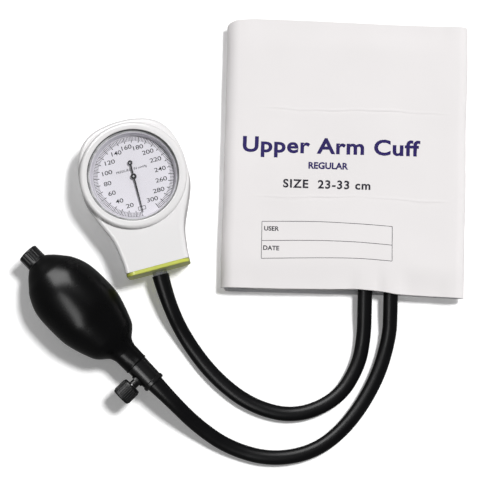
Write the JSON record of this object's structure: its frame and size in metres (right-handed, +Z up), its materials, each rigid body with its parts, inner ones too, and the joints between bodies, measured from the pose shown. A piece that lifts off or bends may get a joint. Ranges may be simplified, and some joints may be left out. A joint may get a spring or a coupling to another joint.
{
  "type": "upper arm blood pressure monitor",
  "caption": "Hand-pumped upper arm blood pressure monitor: dial gauge in a tear-shaped case, squeeze bulb with release knob, hoses and a folded cuff.",
  "frame": {"origin": "centre of the box round gauge, bulb and cuff, on the surface they lie on", "axes": "+X from the gauge towards the cuff, +Y from the hoses towards the cuff's far edge, +Z up out of the dial"},
  "size_m": [0.2391, 0.2382, 0.0398],
  "materials": {
    "case_plastic": "moulded, light gloss",
    "green_plastic": "moulded, gloss",
    "screw_steel": "machined",
    "clear_lens": "clear, polished",
    "black_seal": "smooth",
    "dial_paint": "satin paint",
    "pointer_paint": "matt paint",
    "movement_brass": "machined",
    "movement_steel": "machined",
    "capsule_bronze": "rolled sheet",
    "nipple_chrome": "polished",
    "bulb_rubber": "moulded, semi-gloss",
    "hose_rubber": "extruded, satin",
    "valve_black": "moulded, matt",
    "knob_black": "knurled, matt",
    "cuff_vinyl": "coated cloth, soft sheen",
    "cuff_lining_cloth": "woven cloth",
    "bladder_rubber": "smooth",
    "port_plastic": "moulded",
    "hook_nylon": "stiff hooks",
    "loop_nylon": "soft loops"
  },
  "bodies": {
    "monitor": {"front_case": "case_plastic", "rear_case": "case_plastic", "end_plate": "green_plastic", "case_screws": "screw_steel", "lens": "clear_lens", "lens_gasket": "black_seal", "dial_plate": "dial_paint", "hairspring": "capsule_bronze", "movement_base": "movement_brass", "bridge_pillars": "movement_brass", "movement_bridge": "movement_brass", "bridge_screws": "screw_steel", "frame_screws": "screw_steel", "capsule": "capsule_bronze", "socket_block": "movement_brass", "air_tube": "movement_brass", "hose_nipple": "nipple_chrome", "nipple_nut": "nipple_chrome", "nipple_gasket": "black_seal", "bulb": "bulb_rubber", "end_valve_body": "valve_black", "end_valve_stop": "valve_black", "release_valve_body": "valve_black", "outlet_valve_ring": "movement_brass", "gland_nut": "valve_black", "cuff_shell": "cuff_vinyl", "cuff_lining": "cuff_lining_cloth", "bladder": "bladder_rubber", "gauge_port": "port_plastic", "bulb_port": "port_plastic", "hook_patch": "hook_nylon", "loop_patch": "loop_nylon", "gauge_hose": "hose_rubber", "bulb_hose": "hose_rubber"},
    "sector": {"sector_gear": "movement_brass", "sector_arbor": "movement_steel"},
    "pointer_set": {"pointer": "pointer_paint", "pointer_arbor": "movement_steel"},
    "rocker": {"rocker_shaft": "movement_steel"},
    "button": {"capsule_button": "movement_brass"},
    "inlet_ball": {"end_valve_ball": "screw_steel"},
    "outlet_disc": {"outlet_valve_disc": "black_seal"},
    "needle": {"release_plunger": "movement_brass"},
    "knob": {"release_knob": "knob_black", "valve_spindle": "movement_steel"}
  },
  "joints": [
    {"name": "sector_turn", "type": "hinge", "parent": "monitor", "child": "sector", "pos_m": [-0.04385, 0.02146, 0.0164], "axis": [0, 0, 1], "range_deg": [0, 28], "stiffness_Nm_per_rad": 0.001},
    {"name": "pointer_turn", "type": "hinge", "parent": "monitor", "child": "pointer_set", "pos_m": [-0.05955, 0.01725, 0.0235], "axis": [0, 0, 1], "range_deg": [-336, 0]},
    {"name": "rocker_turn", "type": "hinge", "parent": "monitor", "child": "rocker", "pos_m": [-0.0593, 0.01633, 0.0116], "axis": [-0.9659, -0.2588, 0], "range_deg": [0, 18.7]},
    {"name": "capsule_rise", "type": "slide", "parent": "monitor", "child": "button", "axis": [0, 0, 1], "range_m": [0, 0.00162], "deforming": ["capsule"]},
    {"name": "inlet_ball_lift", "type": "slide", "parent": "monitor", "child": "inlet_ball", "axis": [0.7009, -0.7133, 0], "range_m": [0, 0.001]},
    {"name": "outlet_disc_lift", "type": "slide", "parent": "monitor", "child": "outlet_disc", "axis": [0.7009, -0.7133, 0], "range_m": [0, 0.0009]},
    {"name": "needle_lift", "type": "slide", "parent": "monitor", "child": "needle", "axis": [-0.7133, -0.7009, 0], "range_m": [0, 0.0014]},
    {"name": "knob_turn", "type": "hinge", "parent": "needle", "child": "knob", "pos_m": [-0.06179, -0.09488, 0.01988], "axis": [-0.7133, -0.7009, 0], "range_deg": [0, 720]}
  ],
  "couplings": [
    {"joint": "sector_turn", "follows": "capsule_rise", "rad_per_m": 300.81},
    {"joint": "pointer_turn", "follows": "capsule_rise", "rad_per_m": -3609.7},
    {"joint": "rocker_turn", "follows": "capsule_rise", "rad_per_m": 200.9},
    {"joint": "knob_turn", "follows": "needle_lift", "rad_per_m": 8976}
  ]
}
